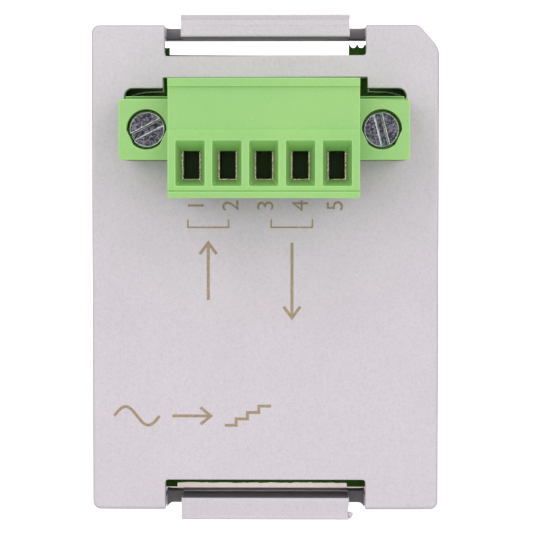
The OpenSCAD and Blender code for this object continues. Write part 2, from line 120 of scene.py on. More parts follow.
class Look:
    """A Principled material whose textures are laid out in the object's own metres."""

    def __init__(self, name, **settings):
        self.material = bpy.data.materials.new(name)
        self.material.use_nodes = True
        self.nodes = self.material.node_tree.nodes
        self.links = self.material.node_tree.links
        self.shader = self.nodes["Principled BSDF"]
        self.place = self.nodes.new("ShaderNodeTexCoord").outputs["Object"]
        for setting, value in settings.items():
            socket = setting.replace("_", " ").title().replace("Ior", "IOR")
            self.shader.inputs[socket].default_value = value

    def link(self, value, socket):
        """Sets a socket to a number or colour, or links another node's output to it."""
        if isinstance(value, bpy.types.NodeSocket):
            self.links.new(value, socket)
        elif socket.type == "RGBA" and len(value) == 3:
            socket.default_value = (*value, 1)
        else:
            socket.default_value = value

    def noise(self, feature, detail=3, roughness=0.55, stretch=None):
        """Noise whose features are about this many metres across."""
        node = self.nodes.new("ShaderNodeTexNoise")
        node.inputs["Scale"].default_value = 1 / feature
        node.inputs["Detail"].default_value = detail
        node.inputs["Roughness"].default_value = roughness
        self.link(self.scaled(stretch) if stretch else self.place, node.inputs["Vector"])
        return node.outputs["Fac"]

    def cells(self, feature):
        """Cells about this many metres across, each with a colour of its own."""
        node = self.nodes.new("ShaderNodeTexVoronoi")
        node.inputs["Scale"].default_value = 1 / feature
        self.link(self.place, node.inputs["Vector"])
        return node.outputs["Color"]

    def scaled(self, factors):
        """The place, with each coordinate multiplied by its own factor."""
        node = self.nodes.new("ShaderNodeVectorMath")
        node.operation = "MULTIPLY"
        self.link(self.place, node.inputs[0])
        node.inputs[1].default_value = factors
        return node.outputs[0]

    def axis(self, name, source=None):
        """One coordinate of the place, or of another vector."""
        node = self.nodes.new("ShaderNodeSeparateXYZ")
        self.link(source or self.place, node.inputs[0])
        return node.outputs[name]

    def normal(self):
        """The flat face's own normal, whatever the smoothing."""
        return self.nodes.new("ShaderNodeNewGeometry").outputs["True Normal"]

    def math(self, operation, a, b=0.0):
        node = self.nodes.new("ShaderNodeMath")
        node.operation = operation
        self.link(a, node.inputs[0])
        self.link(b, node.inputs[1])
        return node.outputs[0]

    def ramp(self, value, start, end, at_start=0.0, at_end=1.0):
        """Maps start..end to at_start..at_end, and holds it outside."""
        node = self.nodes.new("ShaderNodeMapRange")
        self.link(value, node.inputs["Value"])
        sockets = ("From Min", "From Max", "To Min", "To Max")
        for socket, number in zip(sockets, (start, end, at_start, at_end)):
            node.inputs[socket].default_value = number
        return node.outputs["Result"]

    def mix(self, share, a, b):
        """Colour a where the share is 0, and colour b where it is 1."""
        node = self.nodes.new("ShaderNodeMix")
        node.data_type = "RGBA"
        self.link(share, node.inputs["Factor"])
        self.link(a, node.inputs["A"])
        self.link(b, node.inputs["B"])
        return node.outputs["Result"]

    def bump(self, height, depth, strength=1.0):
        """Adds a height map to the bumps so far: height 1 stands this many metres proud."""
        node = self.nodes.new("ShaderNodeBump")
        node.inputs["Distance"].default_value = depth
        node.inputs["Strength"].default_value = strength
        self.link(height, node.inputs["Height"])
        if self.shader.inputs["Normal"].is_linked:
            so_far = self.shader.inputs["Normal"].links[0].from_socket
            self.links.new(so_far, node.inputs["Normal"])
        self.links.new(node.outputs["Normal"], self.shader.inputs["Normal"])

    def set(self, socket, value):
        self.link(value, self.shader.inputs[socket])


def shaded(tone, shade):
    """A colour made darker or lighter by a factor."""
    return tuple(c * shade for c in tone)


def moulded_plastic(name, colour, cloud_colour, roughness, grain, grain_depth, specks=0.10,
                    **settings):
    """Moulded plastic: a fine spark-eroded grain, faint flow clouds and a few specks."""
    look = Look(name, **settings)
    clouds = look.noise(9 * MM, detail=4)
    base = look.mix(look.ramp(clouds, 0.35, 0.65), cloud_colour, colour)
    dots = look.noise(grain * 1.8, detail=3)
    base = look.mix(look.ramp(dots, 0.5, 0.75, 0, specks), base, shaded(colour, 0.45))
    pale = tuple(min(1, c) for c in shaded(colour, 1.35))
    base = look.mix(look.ramp(dots, 0.42, 0.25, 0, specks), base, pale)
    look.set("Base Color", base)
    dull, glossy = roughness + 0.05, roughness - 0.05
    look.set("Roughness", look.ramp(look.noise(1.2 * MM), 0.3, 0.7, glossy, dull))
    look.bump(look.noise(grain, detail=4, roughness=0.65), grain_depth)
    look.bump(look.noise(3 * MM, detail=2), 12e-6, 0.5)
    return look.material


def cover_plastic(name, shade):
    """Pale purplish-grey plastic, times a shade: a shade below 1 is painted shade, darkening it
    where the photo is dark.
    """
    colour, clouds = shaded((0.590, 0.545, 0.590), shade), shaded((0.565, 0.520, 0.565), shade)
    return moulded_plastic(name, colour, clouds, 0.55, 0.11 * MM, 14e-6, specks=0.22)


def terminal_plastic(name, shade, **settings):
    """Green polyamide, times a shade, and a little translucent: a shade below 1 is painted shade,
    one above 1 painted light.
    """
    colour, clouds = shaded((0.290, 0.545, 0.165), shade), shaded((0.262, 0.520, 0.160), shade)
    return moulded_plastic(name, colour, clouds, 0.42, 0.14 * MM, 6e-6, subsurface_weight=0.15,
                           subsurface_radius=(0.6, 1.0, 0.35), subsurface_scale=0.3 * MM,
                           **settings)


def connector_plastic():
    return moulded_plastic("connector_plastic", (0.022, 0.022, 0.025), (0.014, 0.014, 0.016),
                           0.48, 0.12 * MM, 6e-6)


def package_epoxy():
    """Black moulding compound, sparkling faintly with its silica filler."""
    look = Look("package_epoxy")
    filler = look.noise(0.07 * MM, detail=2)
    look.set("Base Color", look.mix(look.ramp(filler, 0.55, 0.75),
                                    (0.020, 0.020, 0.022), (0.075, 0.075, 0.080)))
    look.set("Roughness", look.ramp(look.noise(0.6 * MM), 0.3, 0.7, 0.45, 0.62))
    look.bump(look.noise(0.09 * MM, detail=3), 7e-6)
    return look.material


def spangled_zinc(name, dark, light, metallic):
    """Zinc plate: small crystals that each catch the light their own way."""
    look = Look(name, metallic=metallic)
    crystal = look.cells(0.15 * MM)
    shade = look.axis("X", crystal)
    tint = look.mix(look.ramp(shade, 0.25, 0.95), dark, light)
    stain = look.ramp(look.noise(0.7 * MM), 0.45, 0.7, 0, 0.35)
    look.set("Base Color", look.mix(stain, tint, shaded(dark, 0.9)))
    look.set("Roughness", look.ramp(look.axis("Y", crystal), 0, 1, 0.25, 0.50))
    look.bump(shade, 9e-6, 0.8)
    look.bump(look.noise(0.05 * MM), 2e-6)
    return look.material


def turned_metal(name, colour, dull_colour, roughness, scratch):
    """Plated or machined metal: drawn streaks along Y, dull patches, fine pits."""
    look = Look(name, metallic=1.0)
    streaks = look.noise(scratch, detail=4, stretch=(1, 0.06, 1))
    patches = look.ramp(look.noise(0.5 * MM, detail=3), 0.45, 0.7)
    tone = look.mix(look.ramp(streaks, 0.3, 0.7), shaded(colour, 0.8), colour)
    look.set("Base Color", look.mix(patches, tone, dull_colour))
    look.set("Roughness", look.ramp(streaks, 0.3, 0.7, roughness, roughness + 0.16))
    look.bump(streaks, 3e-6)
    return look.material


def cage_metal():
    """Stamped cage: warm plated brass with burrs along its sheared edges."""
    look = Look("cage_metal", metallic=0.85)
    burrs = look.noise(0.11 * MM, detail=3, roughness=0.7)
    look.set("Base Color", look.mix(look.ramp(burrs, 0.44, 0.58),
                                    (0.07, 0.05, 0.03), (0.86, 0.74, 0.57)))
    look.set("Roughness", look.ramp(burrs, 0.3, 0.7, 0.28, 0.5))
    look.bump(burrs, 30e-6)
    return look.material


def solder():
    """Tin-lead solder: smooth, bright, slightly grainy where it froze last."""
    look = Look("solder", metallic=1.0)
    frost = look.noise(0.18 * MM, detail=4)
    look.set("Base Color", look.mix(look.ramp(frost, 0.4, 0.7),
                                    (0.74, 0.74, 0.76), (0.50, 0.50, 0.53)))
    look.set("Roughness", look.ramp(frost, 0.35, 0.7, 0.16, 0.42))
    look.bump(frost, 8e-6)
    return look.material


def laminate():
    """Solder mask over copper on the two faces, and bare glass laminate on every cut edge, which
    glows faintly as painted light.
    """
    # the emission is painted light on the bare laminate
    look = Look("laminate", specular_ior_level=0.18, emission_strength=0.40)
    weave_rate = 9000  # radians per metre, so threads are 0.7 mm apart
    weave = look.math("MULTIPLY",
                      look.math("SINE", look.math("MULTIPLY", look.axis("X"), weave_rate)),
                      look.math("SINE", look.math("MULTIPLY", look.axis("Z"), weave_rate)))
    mask = look.mix(look.ramp(look.noise(1.3 * MM), 0.35, 0.65),
                    (0.024, 0.100, 0.001), (0.041, 0.142, 0.002))
    copper_pour = look.ramp(look.noise(5 * MM, detail=1), 0.495, 0.505)
    mask = look.mix(look.math("MULTIPLY", copper_pour, 0.45), mask, (0.050, 0.175, 0.010))
    fibres = look.noise(0.10 * MM, detail=4, stretch=(0.35, 1, 1))
    bare = look.mix(look.ramp(fibres, 0.3, 0.7), (0.72, 0.62, 0.52), (0.95, 0.88, 0.82))
    facing = look.ramp(look.math("ABSOLUTE", look.axis("Y", look.normal())), 0.5, 0.6)
    on_face = look.ramp(look.math("ABSOLUTE", look.axis("Y", look.normal())), 0.93, 0.985)
    top_edge = look.ramp(look.axis("Z"), 20 * MM, 20.3 * MM)
    smear = look.math("MULTIPLY", top_edge, look.ramp(look.noise(0.5 * MM), 0.40, 0.55))
    chipping = look.math("MULTIPLY", look.noise(0.9 * MM), 0.30 * MM)
    ragged = look.ramp(look.math("ADD", look.axis("Z"), chipping),
                       SCORE_TOP + 0.09 * MM, SCORE_TOP + 0.12 * MM)
    covered = look.math("MAXIMUM", on_face,
                        look.math("MAXIMUM", smear, look.math("MULTIPLY", ragged, facing)))
    look.set("Base Color", look.mix(covered, bare, mask))
    # painted light: the bare laminate glows cream as if lit through
    look.set("Emission Color", look.mix(covered, (0.95, 0.85, 0.82), (0, 0, 0)))
    gloss = look.ramp(look.axis("Y", look.normal()), -0.5, 0.5, 0.60, 0.24)
    look.set("Roughness", look.math("MAXIMUM", gloss, look.ramp(covered, 0, 1, 0.75, 0)))
    look.bump(look.math("MULTIPLY", weave, on_face), 4e-6)
    look.bump(look.math("MULTIPLY", fibres, look.ramp(covered, 0, 1, 1, 0)), 60e-6)
    return look.material


def masked_copper():
    """A copper track under solder mask: lighter green, with its edges softly raised."""
    look = Look("masked_copper", coat_weight=0.2, coat_roughness=0.1)
    tone = look.ramp(look.noise(0.8 * MM), 0.35, 0.65)
    look.set("Base Color", look.mix(tone, (0.070, 0.260, 0.030), (0.100, 0.330, 0.045)))
    look.set("Roughness", look.ramp(look.noise(0.2 * MM), 0.3, 0.7, 0.22, 0.34))
    look.bump(look.noise(0.15 * MM), 3e-6)
    return look.material


def silkscreen():
    """White board ink, a little uneven."""
    look = Look("silkscreen")
    cover = look.ramp(look.noise(0.12 * MM, detail=4), 0.25, 0.5)
    look.set("Base Color", look.mix(cover, (0.45, 0.52, 0.44), (0.80, 0.80, 0.77)))
    look.set("Roughness", look.ramp(cover, 0, 1, 0.5, 0.65))
    look.bump(cover, 4e-6)
    return look.material


def laser_mark():
    """Scorched plastic: golden brown, speckled, and paler where the beam was weak."""
    look = Look("laser_mark")
    beam = look.noise(0.10 * MM, detail=4, roughness=0.7)
    base = look.mix(look.ramp(beam, 0.40, 0.58),
                    (0.190, 0.130, 0.072), (0.440, 0.340, 0.215))
    pale = look.ramp(look.noise(0.45 * MM), 0.58, 0.72, 0, 0.6)
    look.set("Base Color", look.mix(pale, base, (0.50, 0.43, 0.36)))
    look.set("Roughness", look.ramp(beam, 0.3, 0.7, 0.55, 0.8))
    look.bump(beam, 8e-6)
    return look.material


def ceramic(name, colour, light_colour, roughness):
    """Fired ceramic or ferrite: fine granules, slightly mottled."""
    look = Look(name)
    granules = look.noise(0.08 * MM, detail=3)
    look.set("Base Color", look.mix(look.ramp(granules, 0.35, 0.7), colour, light_colour))
    glossy, dull = roughness - 0.08, roughness + 0.08
    look.set("Roughness", look.ramp(look.noise(0.4 * MM), 0.3, 0.7, glossy, dull))
    look.bump(granules, 6e-6)
    return look.material


def studio_paper():
    """The pale floor: a very faint tone, and a glow like a light table's."""
    look = Look("studio_paper", emission_color=(1, 1, 1, 1), emission_strength=0.75)
    tone = look.noise(60 * MM, detail=2)
    look.set("Base Color", look.mix(look.ramp(tone, 0.3, 0.7),
                                    (0.90, 0.90, 0.90), (0.92, 0.92, 0.92)))
    look.set("Roughness", look.ramp(look.noise(4 * MM), 0.3, 0.7, 0.75, 0.85))
    return look.material


COVER = cover_plastic("cover_plastic", 1.0)
# painted shade: a darker copy of the cover plastic for the outer half of the cover's rounded edges
COVER_PAINTED_EDGE_SHADE = cover_plastic("cover_plastic_painted_edge_shade", 0.76)
# painted shade: darker copies of the cover plastic for the strap ends and the tabs' faces inside
# the slots, darkest at the bottom latch
STRAPS_PAINTED_SHADE = {"top_latch": cover_plastic("painted_shade_strap_plastic", 0.34),
          "bottom_latch": cover_plastic("painted_deep_shade_strap_plastic", 0.26)}
GREEN = terminal_plastic("terminal_plastic", 1.0)
# painted shade: a dark, less shiny green for the walls inside the wire chambers
GREEN_PAINTED_SHADE = terminal_plastic("terminal_plastic_painted_shade", 0.25, specular_ior_level=0.05)
# painted light: a lighter green for the roofs of the wire funnels
GREEN_PAINTED_ROOF_LIGHT = terminal_plastic("terminal_plastic_painted_roof_light", 1.36)
# painted highlight: a lighter green on the plug's rounded edges
GREEN_PAINTED_EDGE_HIGHLIGHT = terminal_plastic("terminal_plastic_painted_edge_highlight", 1.22)
BLACK_PLASTIC = connector_plastic()
EPOXY = package_epoxy()
ZINC = spangled_zinc("spangled_zinc", (0.025, 0.023, 0.035), (0.165, 0.160, 0.195), 0.85)
SCREW_ZINC = spangled_zinc("board_screw_zinc", (0.25, 0.25, 0.27), (0.62, 0.61, 0.65), 0.9)
# worn bright zinc on the screw heads' rounded edges, and partly a painted highlight: near white and
# only a little metallic
WORN_ZINC_AND_HIGHLIGHT = spangled_zinc("worn_zinc_edge_and_painted_highlight", (0.52, 0.58, 0.57), (0.90, 0.96, 0.95), 0.3)
CAGE = cage_metal()
CONTACT = turned_metal("contact_metal", (0.80, 0.76, 0.66), (0.58, 0.53, 0.44), 0.22, 0.06 * MM)
NUT_BRASS = turned_metal("nut_brass", (0.80, 0.62, 0.30), (0.55, 0.40, 0.18), 0.25, 0.05 * MM)
CAN = turned_metal("can_metal", (0.72, 0.72, 0.73), (0.55, 0.55, 0.57), 0.18, 0.08 * MM)
SOLDER = solder()
LAMINATE = laminate()
MASKED_COPPER = masked_copper()
INK = silkscreen()
MARK = laser_mark()
RESISTOR = ceramic("resistor_glaze", (0.014, 0.014, 0.016), (0.040, 0.040, 0.044), 0.30)
CAPACITOR = ceramic("capacitor_ceramic", (0.30, 0.20, 0.11), (0.46, 0.33, 0.21), 0.42)
TANTALUM = ceramic("tantalum_case", (0.60, 0.33, 0.035), (0.74, 0.44, 0.07), 0.40)
FERRITE = ceramic("ferrite", (0.030, 0.030, 0.033), (0.085, 0.085, 0.090), 0.55)


# ---- Making pieces ----

def piece(name, mesh, material, body, slot):
    """A new object in the frame that moves with a body."""
    mesh.materials.clear()
    mesh.materials.append(material)
    obj = bpy.data.objects.new(name, mesh)
    scene.collection.objects.link(obj)
    if body:
        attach(obj, body)
    return obj


def add_material(obj, material):
    """Gives an object one more material, and returns its index."""
    obj.data.materials.append(material)
    return len(obj.data.materials) - 1


def finish_mesh(bm, name, sharp=30):
    """Writes a bmesh out as a mesh that is smooth except across edges sharper than this."""
    bmesh.ops.recalc_face_normals(bm, faces=bm.faces)
    mesh = bpy.data.meshes.new(name)
    bm.to_mesh(mesh)
    bm.free()
    for polygon in mesh.polygons:
        polygon.use_smooth = True
    mesh.set_sharp_from_angle(angle=math.radians(sharp))
    return mesh


def clean_copy(node):
    """A CAD node's mesh with its triangles joined back into flat faces."""
    bm = bmesh.new()
    bm.from_mesh(frame["nodes"][node].data)
    bmesh.ops.remove_doubles(bm, verts=bm.verts, dist=1e-6)
    bmesh.ops.dissolve_limit(bm, angle_limit=math.radians(1), verts=bm.verts, edges=bm.edges)
    return bm


def cut_flat(bm, axis, places, behind=None):
    """Splits flat faces at these places along an axis, so that none has a hole in it. behind
    leaves alone the faces that reach further back than this."""
    normal = Vector((axis == "x", axis == "y", axis == "z"))
    for place in places:
        faces = [f for f in bm.faces if behind is None or max(v.co.y for v in f.verts) < behind]
        around = dict.fromkeys(part for f in faces for part in (*f.edges, *f.verts))
        bmesh.ops.bisect_plane(bm, geom=faces + list(around), dist=2e-6,
                               plane_co=normal * place, plane_no=normal)


def skin(name, node, material, width, segments=3, width_at=None, cuts=(), edge_material=None):
    """A copy of a CAD node with rounded edges, shown in its place. width_at gives an edge's own
    rounding from its middle and direction, or None for the usual width."""
    bm = clean_copy(node)
    for cut in cuts:
        cut_flat(bm, *cut)
    weights = bm.edges.layers.float.new("bevel_weight_edge")
    least_angle = math.radians(28)
    wanted = {}
    for edge in bm.edges:
        if len(edge.link_faces) != 2 or edge.calc_face_angle(0) < least_angle:
            continue
        middle = (edge.verts[0].co + edge.verts[1].co) / 2
        along = (edge.verts[1].co - edge.verts[0].co).normalized()
        own = width_at(middle, along) if width_at else None
        wanted[edge] = min(width if own is None else own, room_beside(edge, along))
    widest = max(wanted.values())
    for edge, own in wanted.items():
        edge[weights] = own / widest
    body = frame["nodes"][node]["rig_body"]
    obj = piece(name, finish_mesh(bm, name, 180), material, body, slot_of(node))
    bevel = obj.modifiers.new("round_edges", "BEVEL")
    bevel.limit_method = "WEIGHT"
    bevel.width = widest
    bevel.segments = segments
    bevel.use_clamp_overlap = False
    bevel.miter_outer = "MITER_ARC"
    if edge_material:
        bevel.material = add_material(obj, edge_material)
    normals = obj.modifiers.new("flat_faces_stay_flat", "WEIGHTED_NORMAL")
    normals.weight = 100
    normals.keep_sharp = False
    apply_modifiers(obj)
    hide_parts(node)
    return obj


def room_beside(edge, along):
    """How wide an edge's rounding can be before it meets the next edge across a narrow face."""
    room = 1.0
    for vert in edge.verts:
        for other in vert.link_edges:
            length = other.calc_length()
            shared = abs(along.dot(other.other_vert(vert).co - vert.co))
            if other is not edge and shared < 0.7 * length:
                room = min(room, 0.42 * length)
    return room


def apply_modifiers(obj):
    """Turns an object's modifiers into real mesh."""
    graph = bpy.context.evaluated_depsgraph_get()
    mesh = bpy.data.meshes.new_from_object(obj.evaluated_get(graph))
    obj.modifiers.clear()
    obj.data = mesh


def slot_of(node):
    return next(s["material_slot"] for s in frame["record"]["subparts"] if s["node"] == node)


def paint(node, material):
    """Gives a CAD node that is shown as it is its material."""
    obj = frame["nodes"][node]
    obj.data.materials.clear()
    obj.data.materials.append(material)


def join_rings(bm, one, other):
    """A band of faces between two rings of as many vertices."""
    count = len(one)
    for s in range(count):
        t = (s + 1) % count
        bm.faces.new((one[s], one[t], other[t], other[s]))


def ribbon(bm, points, width, y, height, facing=-1):
    """A thin flat stroke through points (x, z), standing height proud of the plane at y."""
    half = width / 2
    sides = []
    for i, point in enumerate(points):
        here = Vector(point)
        before = (here - Vector(points[i - 1])).normalized() if i else None
        after = (Vector(points[i + 1]) - here).normalized() if i + 1 < len(points) else None
        along = (before or after) + (after or before)
        along.normalize()
        across = Vector((-along.y, along.x))
        lean = max(across.dot(Vector((-(after or before).y, (after or before).x))), 0.4)
        sides.append((here + across * half / lean, here - across * half / lean))
    front, back = y + facing * height, y - facing * height
    rings = [[bm.verts.new((p.x, depth, p.y))
              for p, depth in ((a, back), (a, front), (b, front), (b, back))] for a, b in sides]
    for one, other in zip(rings, rings[1:]):
        join_rings(bm, one, other)
    bm.faces.new(rings[0][::-1])
    bm.faces.new(rings[-1])


def dome(bm, x, z, y, outline, height, top_share, facing=1, steps=12, rings=5):
    """A solder fillet or a raised dot: a concave cone on the plane at y with a round foot."""
    previous = None
    for k in range(rings + 1):
        t = k / rings
        r = outline * (top_share + (1 - top_share) * (1 - t) ** 2.2)
        ring = [bm.verts.new((x + r * math.cos(a), y + facing * height * t, z + r * math.sin(a)))
                for a in (2 * math.pi * s / steps for s in range(steps))]
        if previous:
            join_rings(bm, previous, ring)
        else:
            bm.faces.new(ring[::-1])
        previous = ring
    bm.faces.new(previous)


# ---- Cover and latches ----

def cover_width(middle, along):
    """The cover's face has a soft outer edge, tight slot edges and small fillets in the slots."""
    soft_edge, slot_fillet, tight_edge = 0.42 * MM, 0.3 * MM, 0.09 * MM
    on_face = abs(middle.y - FACE_Y) < 0.02 * MM
    outer = abs(middle.x) > HALF_W - 2.7 * MM or abs(middle.z) > HALF_H - 0.9 * MM
    in_slot = abs(middle.x) < 10.3 * MM and abs(middle.z) > 21 * MM
    if on_face and outer and not in_slot:
        return soft_edge
    if abs(along.y) > 0.9 and in_slot and abs(middle.z) < 22 * MM:
        return slot_fillet
    return tight_edge


def build_cover():
    """The cover, with the outer half of the rounding round its face in a darker tone, which is
    painted shade.
    """
    cover = skin("cover_shell", "front_cover", COVER, 0.09 * MM, 4, cover_width, [("x", [0])])
    # the outer facets of the rounding get the painted shade
    edge = add_material(cover, COVER_PAINTED_EDGE_SHADE)
    for polygon in cover.data.polygons:
        in_rounding = FACE_Y < polygon.center.y < FACE_Y + 0.5 * MM
        if in_rounding and 0.1 < abs(polygon.normal.y) < 0.75:
            polygon.material_index = edge


def build_latch(name, side):
    """A latch as its tab, which moves, and the two ends of its strap. side is 1 for the top latch
    and -1 for the bottom one."""
    slot_half = high(name).x

    def tab_width(middle, along):
        return 0.22 * MM if abs(middle.x) > TAB_HALF - 0.05 * MM and abs(along.y) < 0.5 else None

    bm = clean_copy(name)
    strap = [v.co for v in bm.verts if abs(v.co.x) > slot_half - 0.01 * MM]
    y_span, z_span = ((round(min(c[axis] for c in strap), 6), round(max(c[axis] for c in strap), 6))
                      for axis in (1, 2))
    bm.free()
    tab = skin(f"{name}_tab", name, COVER, 0.12 * MM, 3, tab_width)
    # the tab's faces that look into the slot get the strap's painted shade
    shadowed = add_material(tab, STRAPS_PAINTED_SHADE[name])
    for polygon in tab.data.polygons:
        if polygon.normal.z * side < -0.8:
            polygon.material_index = shadowed
    trim_ends(tab, TAB_HALF + 0.002 * MM)
    shape_ends(tab, side)
    for end, word in ((-1, "left"), (1, "right")):
        strap_end(f"{name}_strap_{word}", name, end, (TAB_HALF, slot_half),
                  y_span, z_span, side)


def trim_ends(obj, half):
    """Cuts a latch's strap off at both sides of its tab and closes the cuts."""
    bm = bmesh.new()
    bm.from_mesh(obj.data)
    for end in (-1, 1):
        cut = bmesh.ops.bisect_plane(bm, geom=bm.verts[:] + bm.edges[:] + bm.faces[:],
                                     plane_co=(end * half, 0, 0), plane_no=(end, 0, 0),
                                     clear_outer=True)
        edges = [e for e in cut["geom_cut"] if isinstance(e, bmesh.types.BMEdge)]
        bmesh.ops.holes_fill(bm, edges=edges, sides=0)
    bm.to_mesh(obj.data)
    bm.free()


def shape_ends(tab, side):
    """Draws a tab's ends in a little above the cover's edge, as the mould left them."""
    bm = bmesh.new()
    bm.from_mesh(tab.data)
    start, end = HALF_H - 0.9 * MM, HALF_H + 1.0 * MM
    cut_flat(bm, "z", [side * (start + (end - start) * k / 9) for k in range(1, 9)])
    for vert in bm.verts:
        if abs(vert.co.x) < TAB_HALF - 0.5 * MM:
            continue
        t = min(max((vert.co.z * side - start) / (end - start), 0), 1)
        depth = 0.14 * MM if side < 0 < vert.co.x else 0.04 * MM
        waist = depth * math.sin(math.pi * t ** 1.3) ** 2
        vert.co.x -= math.copysign(waist, vert.co.x)
    bm.to_mesh(tab.data)
    bm.free()


def build_gate_nub():
    """The snapped-off stub of the mould's gate, on the right end of the bottom tab."""
    bm = bmesh.new()
    radius = 0.30 * MM
    bmesh.ops.create_icosphere(bm, subdivisions=3, radius=radius)
    for vert in bm.verts:
        t = vert.co.z / radius
        vert.co.x *= 0.85 + 0.25 * math.sin(3 * t)
        vert.co.x += 0.10 * MM * (1 - t * t) - 0.04 * MM * t
        vert.co.y *= 0.8
        vert.co.z *= 1.15
    place = (8.52 * MM, FACE_Y + 0.45 * MM, -HALF_H - 0.60 * MM)
    bmesh.ops.translate(bm, verts=bm.verts, vec=place)
    piece("bottom_latch_gate_nub", finish_mesh(bm, "gate_nub", 180), COVER,
          "bottom_latch", "cover_plastic")


def strap_end(name, latch, end, x_span, y_span, z_span, side):
    """One end of a strap, flaring into the side of the slot."""
    bm = bmesh.new()
    steps, rim, squareness, overlap = 14, 20, 0.32, 0.05 * MM
    widest_flare = 0.5 * MM if side < 0 else 0.06 * MM
    middle = Vector((0, sum(y_span) / 2, sum(z_span) / 2))
    half = Vector((0, (y_span[1] - y_span[0]) / 2, (z_span[1] - z_span[0]) / 2))
    rings = []
    for k in range(steps + 1):
        t = k / steps
        x = end * (x_span[0] - overlap + (x_span[1] - x_span[0] + 2 * overlap) * t)
        flare = widest_flare * max(0.0, (t - 0.55) / 0.45) ** 3
        ring = []
        for s in range(rim):
            a = 2 * math.pi * (s + 0.5) / rim
            c, d = math.cos(a), math.sin(a)
            py = math.copysign(abs(c) ** squareness, c) * half.y
            pz = math.copysign(abs(d) ** squareness, d) * half.z
            grow = flare if pz * side > 0 else flare * 0.15
            ring.append(bm.verts.new((x, middle.y + py, middle.z + pz + math.copysign(grow, pz))))
        rings.append(ring)
    for one, other in zip(rings, rings[1:]):
        join_rings(bm, one, other)
    bm.faces.new(rings[0])
    bm.faces.new(rings[-1][::-1])
    # the strap end is coloured with painted shade for its place deep in the slot
    obj = piece(name, finish_mesh(bm, name, 60), STRAPS_PAINTED_SHADE[latch], None, "cover_plastic")
    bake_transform(obj)


# ---- Marks on the cover, with places (x, z) in millimetres ----

def marks_mesh(strokes, width):
    """Flat strokes on the cover, each a hair prouder than the one before."""
    bm = bmesh.new()
    for i, points in enumerate(strokes):
        ribbon(bm, [(x * MM, z * MM) for x, z in points], width * MM, FACE_Y,
               (0.006 + 0.0015 * i) * MM)
    return finish_mesh(bm, "marks")


def build_numerals():
    """The numbers 1 to 5 below the terminals, turned to read upwards."""
    for i in POLES:
        curve = bpy.data.curves.new(f"terminal_number_{i}", "FONT")
        curve.body = str(i)
        curve.size = 2.35 * MM
        curve.align_x = "CENTER"
        curve.align_y = "CENTER"
        curve.extrude = 0.005 * MM
        text = bpy.data.objects.new(f"number_source_{i}", curve)
        scene.collection.objects.link(text)
        bpy.context.view_layer.update()
        graph = bpy.context.evaluated_depsgraph_get()
        mesh = bpy.data.meshes.new_from_object(text.evaluated_get(graph))
        bpy.data.objects.remove(text)
        upright = Matrix.Rotation(math.radians(90), 4, "X")
        reading_up = Matrix.Rotation(math.radians(-90), 4, "Y")
        below_pole = Matrix.Translation((POLE_X[i] + 0.1 * MM, FACE_Y, 6.35 * MM))
        mesh.transform(below_pole @ reading_up @ upright)
        piece(f"terminal_number_{i}", mesh, MARK, *ON_COVER)


def build_marks():
    """Numbers, a bracket and an arrow for each group of channels, and three signs for the
    module's kind: a wave, an arrow and a stair."""
    build_numerals()
    thick = 0.3
    brackets = [[(x0, 4.95), (x0, 4.15), (x1, 4.15), (x1, 4.95)]
                for x0, x1 in ((-7.8, -3.7), (0.6, 4.75))]
    piece("channel_brackets", marks_mesh(brackets, 0.17), MARK, *ON_COVER)
    arrows = []
    for x, tail, tip in ((-5.75, -3.2, 2.6), (2.7, 2.6, -5.0)):
        barb = 1.15 if tip > tail else -1.15
        arrows.append([(x, tail), (x, tip)])
        arrows.append([(x - 0.85, tip - barb), (x, tip), (x + 0.85, tip - barb)])
    piece("direction_arrows", marks_mesh(arrows, thick), MARK, *ON_COVER)
    wave = [(-15.3 + 4.6 * t / 24, -14.95 + 0.95 * math.sin(2 * math.pi * t / 24))
            for t in range(25)]
    link = [[(-9.4, -14.95), (-5.6, -14.95)], [(-6.55, -14.1), (-5.5, -14.95), (-6.55, -15.8)]]
    stair = [(-4.1, -15.9), (-2.95, -15.9), (-2.95, -15.25), (-1.8, -15.25), (-1.8, -14.6),
             (-0.65, -14.6), (-0.65, -13.95), (0.6, -13.95)]
    piece("signal_symbols", marks_mesh([wave, stair] + link, thick), MARK, *ON_COVER)


# ---- Terminals ----

def shade_chambers(plug):
    """Gives the walls of the wire chambers a deeper tone of painted shade, because little light
    gets back out of them, and the roofs of their funnels a lighter tone of painted light."""
    start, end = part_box("clamp_cage_1")
    deep, roof = add_material(plug, GREEN_PAINTED_SHADE), add_material(plug, GREEN_PAINTED_ROOF_LIGHT)
    for polygon in plug.data.polygons:
        x, y, z = polygon.center
        off_pole = min(abs(x - pole) for pole in POLE_X.values())
        behind = start.y - 0.16 * MM < y < PLUG_FRONT + 7.5 * MM
        level = start.z - 0.25 * MM < z < end.z + 2.5 * MM
        slopes_down = polygon.normal.z < -0.8 and polygon.normal.y < -0.2
        # painted shade on the chamber walls, painted light on the funnel roofs
        if behind and level and off_pole < 1.45 * MM:
            polygon.material_index = deep
        elif slopes_down and y < start.y and start.z < z < end.z:
            polygon.material_index = roof


